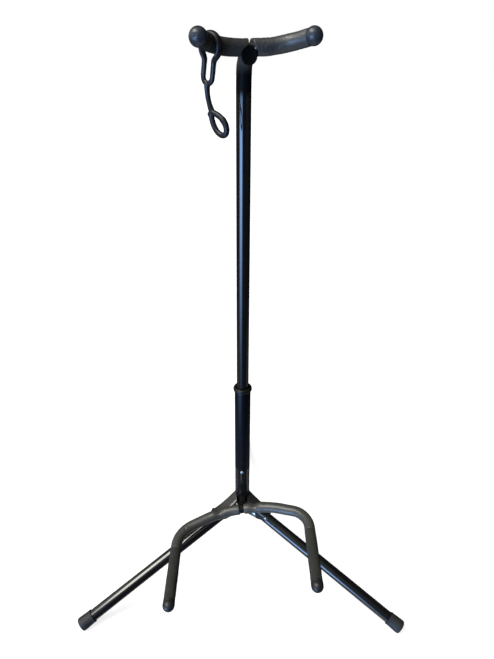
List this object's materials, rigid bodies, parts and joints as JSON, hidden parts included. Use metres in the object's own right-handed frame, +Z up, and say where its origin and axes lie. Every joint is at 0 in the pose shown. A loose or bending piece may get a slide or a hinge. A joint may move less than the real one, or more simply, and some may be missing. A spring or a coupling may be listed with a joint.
{
  "type": "guitar stand",
  "caption": "Folding tubular floor stand for a guitar, with a swivelling padded neck yoke on a telescopic column, a rubber retaining strap and a padded lower yoke.",
  "frame": {"origin": "on the floor, in the middle of the outline seen from above; the column's axis stands 48.06 mm in front of it", "axes": "+Z up along the column, -Y towards the player's side where the arms reach, +X to the right seen from the front"},
  "size_m": [0.4724, 0.4434, 0.7543],
  "materials": {
    "black_lacquer": "glossy black paint on steel tube",
    "bracket_paint": "textured dark grey paint on pressed steel",
    "rivet_steel": "bare bright steel",
    "moulded_black": "moulded black nylon",
    "foot_rubber": "matte charcoal rubber",
    "smooth_cover": "smooth dull grey sleeve",
    "rough_foam": "open-pored dark foam",
    "soft_rubber": "soft moulded rubber"
  },
  "bodies": {
    "base": {"lower_tube": "black_lacquer", "collar": "moulded_black", "bottom_plug": "moulded_black", "stop_rivet": "rivet_steel", "leg_bracket_left": "bracket_paint", "leg_bracket_right": "bracket_paint", "leg_bracket_rear": "bracket_paint", "leg_rivet_left": "rivet_steel", "leg_rivet_right": "rivet_steel", "leg_rivet_rear": "rivet_steel", "leg_stop_left": "rivet_steel", "leg_stop_right": "rivet_steel", "leg_stop_rear": "rivet_steel", "yoke_mount": "bracket_paint", "yoke_screw": "rivet_steel"},
    "leg_left": {"leg_tube_left": "black_lacquer", "foot_left": "foot_rubber"},
    "leg_right": {"leg_tube_right": "black_lacquer", "foot_right": "foot_rubber"},
    "leg_rear": {"leg_tube_rear": "black_lacquer", "foot_rear": "foot_rubber"},
    "yoke_holder": {"yoke_clip": "moulded_black"},
    "yoke": {"yoke_rod": "black_lacquer", "yoke_stop_pin": "rivet_steel", "yoke_cover_left": "smooth_cover", "yoke_cover_right": "smooth_cover", "arm_foam_left": "rough_foam", "arm_foam_right": "rough_foam", "arm_tip_left": "soft_rubber", "arm_tip_right": "soft_rubber"},
    "shoe": {"tube_shoe": "moulded_black"},
    "column": {"upper_tube": "black_lacquer", "neck_plug": "moulded_black", "neck_rod": "black_lacquer", "neck_foam_left": "rough_foam", "neck_foam_right": "rough_foam", "neck_ball_left": "soft_rubber", "neck_ball_right": "soft_rubber"},
    "strap": {"strap": "soft_rubber"}
  },
  "joints": [
    {"name": "leg_left_fold", "type": "hinge", "parent": "base", "child": "leg_left", "pos_m": [-0.02295, -0.06131, 0.11039], "axis": [0.5, -0.866, 0], "range_deg": [0, 66]},
    {"name": "leg_right_fold", "type": "hinge", "parent": "base", "child": "leg_right", "pos_m": [0.02295, -0.06131, 0.11039], "axis": [0.5, 0.866, 0], "range_deg": [0, 66]},
    {"name": "leg_rear_fold", "type": "hinge", "parent": "base", "child": "leg_rear", "pos_m": [0, -0.02156, 0.11039], "axis": [-1, 0, 0], "range_deg": [0, 66]},
    {"name": "yoke_rock", "type": "hinge", "parent": "base", "child": "yoke_holder", "pos_m": [0, -0.08056, 0.133], "axis": [0, 1, 0], "range_deg": [-4, 29]},
    {"name": "yoke_fold", "type": "hinge", "parent": "yoke_holder", "child": "yoke", "pos_m": [0, -0.08056, 0.133], "axis": [-0.9767, 0, -0.2147], "range_deg": [0, 80]},
    {"name": "height_slide", "type": "slide", "parent": "base", "child": "shoe", "axis": [0, 0, 1], "range_m": [0, 0.09]},
    {"name": "neck_swivel", "type": "hinge", "parent": "shoe", "child": "column", "pos_m": [0, -0.04806, 0.2], "axis": [0, 0, 1], "continuous": true},
    {"name": "strap_swing", "type": "hinge", "parent": "column", "child": "strap", "pos_m": [-0.03063, -0.07864, 0.73761], "axis": [-0.6128, -0.7902, 0], "range_deg": [-85, 85]}
  ]
}
